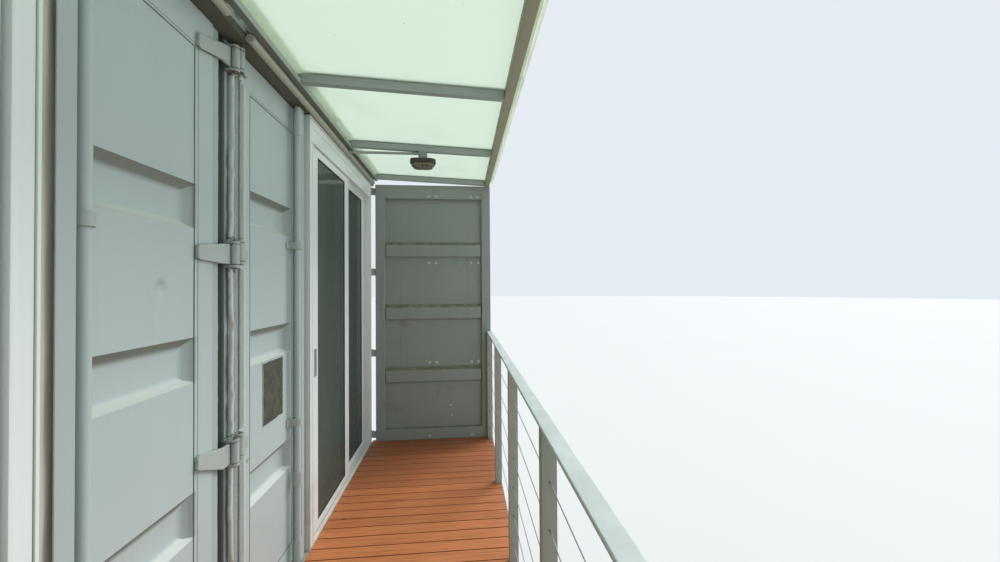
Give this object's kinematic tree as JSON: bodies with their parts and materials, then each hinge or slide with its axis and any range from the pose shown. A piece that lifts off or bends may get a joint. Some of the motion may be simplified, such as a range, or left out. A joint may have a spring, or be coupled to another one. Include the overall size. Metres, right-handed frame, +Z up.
{
  "type": "shipping container cabin",
  "caption": "Raised cabin of side by side steel containers with white sliding doors, a roofed timber balcony, cable railing and container door leaves as end screens.",
  "frame": {"origin": "middle of the footprint at ground level", "axes": "+Z up, +Y from the balcony towards the blind ends, X along the balcony"},
  "size_m": [4.918, 7.28, 5.146],
  "materials": {
    "steelwork": "grey painted structural steel",
    "deck_timber": "orange brown stained timber boards",
    "container_paint": "weathered pale grey paint over steel",
    "underside": "dark underside paint",
    "plywood": "worn plywood floor",
    "leaf_paint": "weathered pale grey paint over pressed steel",
    "gear": "painted forged steel, rusty at the edges",
    "trim": "dark grey folded trim",
    "white_frame": "white powder coated aluminium",
    "glass": "tinted glass",
    "rail_steel": "grey painted steel",
    "rail_cap": "pale grey painted steel",
    "cable": "stainless wire rope",
    "canopy_steel": "pale grey painted steel",
    "canopy_sheet": "milky translucent sheet",
    "lamp_black": "dark painted casting",
    "lamp_glass": "frosted glass",
    "seal": "painted-over rubber door seal",
    "pin_steel": "rusting painted steel",
    "dark_plate": "dark weathered blank plate",
    "pull_metal": "anodised aluminium",
    "drip_paint": "dirty pale paint",
    "lamp_grey": "grey plastic"
  },
  "bodies": {
    "cabin": {"base_plates": "steelwork", "support_columns": "steelwork", "cross_beams": "steelwork", "long_beams": "steelwork", "knee_braces": "steelwork", "deck_frame": "steelwork", "deck_boards": "deck_timber", "corner_castings": "container_paint", "corner_posts": "container_paint", "top_rails": "container_paint", "bottom_rails": "container_paint", "door_headers": "container_paint", "door_sills": "container_paint", "rear_rails": "container_paint", "floor_bearers": "underside", "floor_panels": "plywood", "side_walls": "container_paint", "rear_walls": "container_paint", "roof_panels": "container_paint", "cut_leaf_a": "leaf_paint", "cut_leaf_b": "leaf_paint", "end_screens": "leaf_paint", "door_gaskets": "seal", "hinge_blades": "gear", "hinge_lugs": "gear", "hinge_pins": "pin_steel", "lock_rods": "gear", "rod_sleeves": "gear", "rod_brackets": "gear", "rod_handles": "gear", "leaf_plate": "dark_plate", "edge_trims": "trim", "slider_frames": "white_frame", "fixed_sashes": "white_frame", "fixed_glass": "glass", "rail_posts": "rail_steel", "hand_rail": "rail_cap", "rail_cables": "cable", "cable_ends": "cable", "canopy_ledger": "canopy_steel", "canopy_rafters": "canopy_steel", "canopy_beam": "canopy_steel", "canopy_sheets": "canopy_sheet", "canopy_flashings": "white_frame", "drip_rails": "drip_paint", "lamp_conduit": "lamp_grey", "lamp_box": "lamp_grey", "lamp_base": "lamp_black", "lamp_globe": "lamp_glass"},
    "slider_a": {"sliding_sash_a": "white_frame", "sliding_glass_a": "glass", "pull_a": "pull_metal"},
    "slider_b": {"sliding_sash_b": "white_frame", "sliding_glass_b": "glass", "pull_b": "pull_metal"}
  },
  "joints": [
    {"name": "slide_a", "type": "slide", "parent": "cabin", "child": "slider_a", "axis": [-1, 0, 0], "range_m": [0, 0.61]},
    {"name": "slide_b", "type": "slide", "parent": "cabin", "child": "slider_b", "axis": [1, 0, 0], "range_m": [0, 0.69]}
  ]
}
